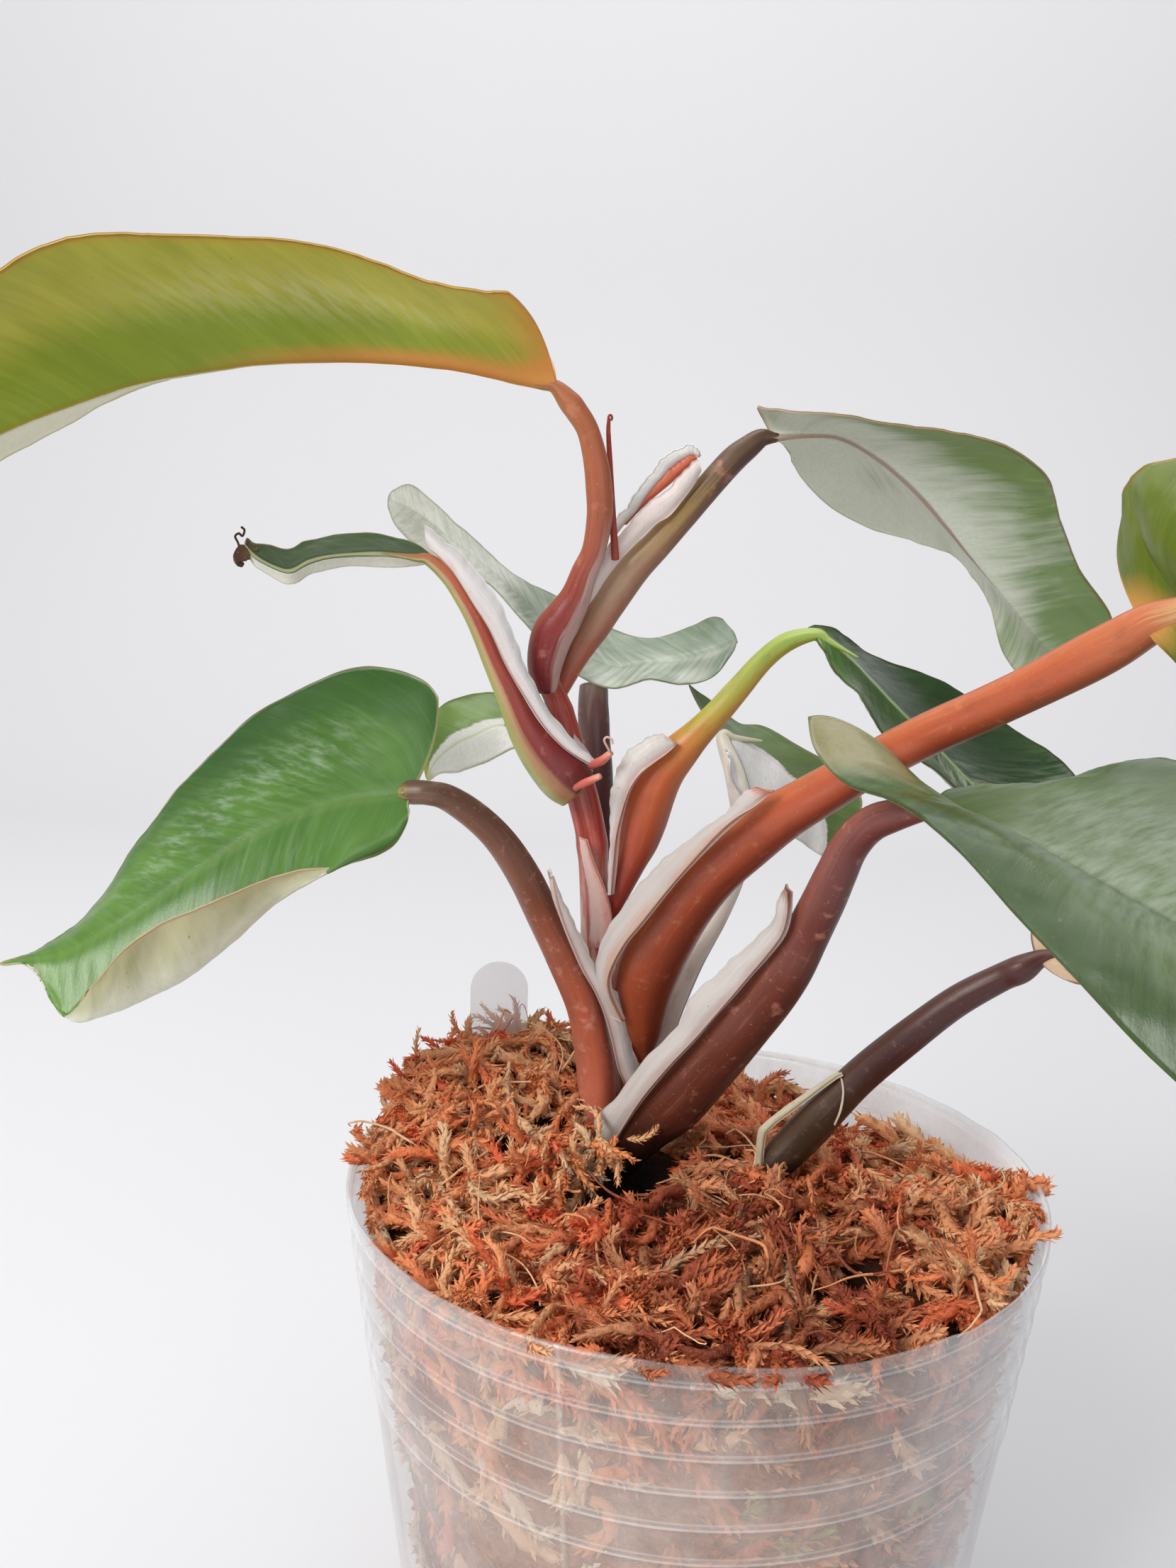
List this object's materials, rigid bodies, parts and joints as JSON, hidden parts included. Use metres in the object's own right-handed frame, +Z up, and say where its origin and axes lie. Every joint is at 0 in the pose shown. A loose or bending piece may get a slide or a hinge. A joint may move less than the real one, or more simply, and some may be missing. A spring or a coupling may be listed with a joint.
{
  "type": "potted white knight philodendron",
  "caption": "Young climbing philodendron with white-splashed leaves on red stalks, rooted in orange sphagnum moss in a clear ribbed nursery cup with a blank label.",
  "frame": {"origin": "centre of the cup's flat underside, on the surface it stands on", "axes": "+Z up through the cup's axis, -Y towards the side the plant is seen from in the picture, +X to the right"},
  "size_m": [0.1979, 0.1333, 0.2009],
  "materials": {
    "leaf_1": "semi-gloss variegated leaf blade",
    "leaf_2": "semi-gloss variegated leaf blade",
    "leaf_3": "semi-gloss variegated leaf blade",
    "leaf_4": "semi-gloss variegated leaf blade",
    "leaf_5": "semi-gloss variegated leaf blade",
    "leaf_6": "semi-gloss variegated leaf blade",
    "leaf_7": "semi-gloss variegated leaf blade",
    "leaf_8": "semi-gloss variegated leaf blade",
    "leaf_9": "semi-gloss variegated leaf blade",
    "leaf_10": "semi-gloss variegated leaf blade",
    "leaf_11": "semi-gloss variegated leaf blade",
    "stalk_1": "satin waxy leaf stalk",
    "stalk_2": "satin waxy leaf stalk",
    "stalk_3": "satin waxy leaf stalk",
    "stalk_4": "satin waxy leaf stalk",
    "stalk_5": "satin waxy leaf stalk",
    "stalk_6": "satin waxy leaf stalk",
    "stalk_7": "satin waxy leaf stalk",
    "stalk_8": "satin waxy leaf stalk",
    "stalk_9": "satin waxy leaf stalk",
    "stalk_10": "satin waxy leaf stalk",
    "stalk_11": "satin waxy leaf stalk",
    "cup": "clear thin-walled, ribbed",
    "moss": "damp long-fibre sphagnum moss",
    "stem": "waxy stem",
    "root": "young aerial root",
    "dried": "dried sheath",
    "label": "blank satin plastic"
  },
  "bodies": {
    "root": {"nursery_cup": "cup", "plant_label": "label", "stem": "stem", "leaf_stalk_1": "stalk_1", "leaf_stalk_2": "stalk_2", "leaf_stalk_3": "stalk_3", "leaf_stalk_4": "stalk_4", "leaf_stalk_5": "stalk_5", "leaf_stalk_6": "stalk_6", "leaf_stalk_7": "stalk_7", "leaf_stalk_8": "stalk_8", "leaf_stalk_9": "stalk_9", "leaf_stalk_10": "stalk_10", "leaf_stalk_11": "stalk_11", "dried_sheath_tip": "dried", "root_stub_a": "root", "root_stub_b": "root", "leaf_1": "leaf_1", "leaf_2": "leaf_2", "leaf_3": "leaf_3", "leaf_4": "leaf_4", "leaf_5": "leaf_5", "leaf_6": "leaf_6", "leaf_7": "leaf_7", "leaf_8": "leaf_8", "leaf_9": "leaf_9", "leaf_10": "leaf_10", "leaf_11": "leaf_11", "sphagnum_moss": "moss"}
  },
  "joints": []
}
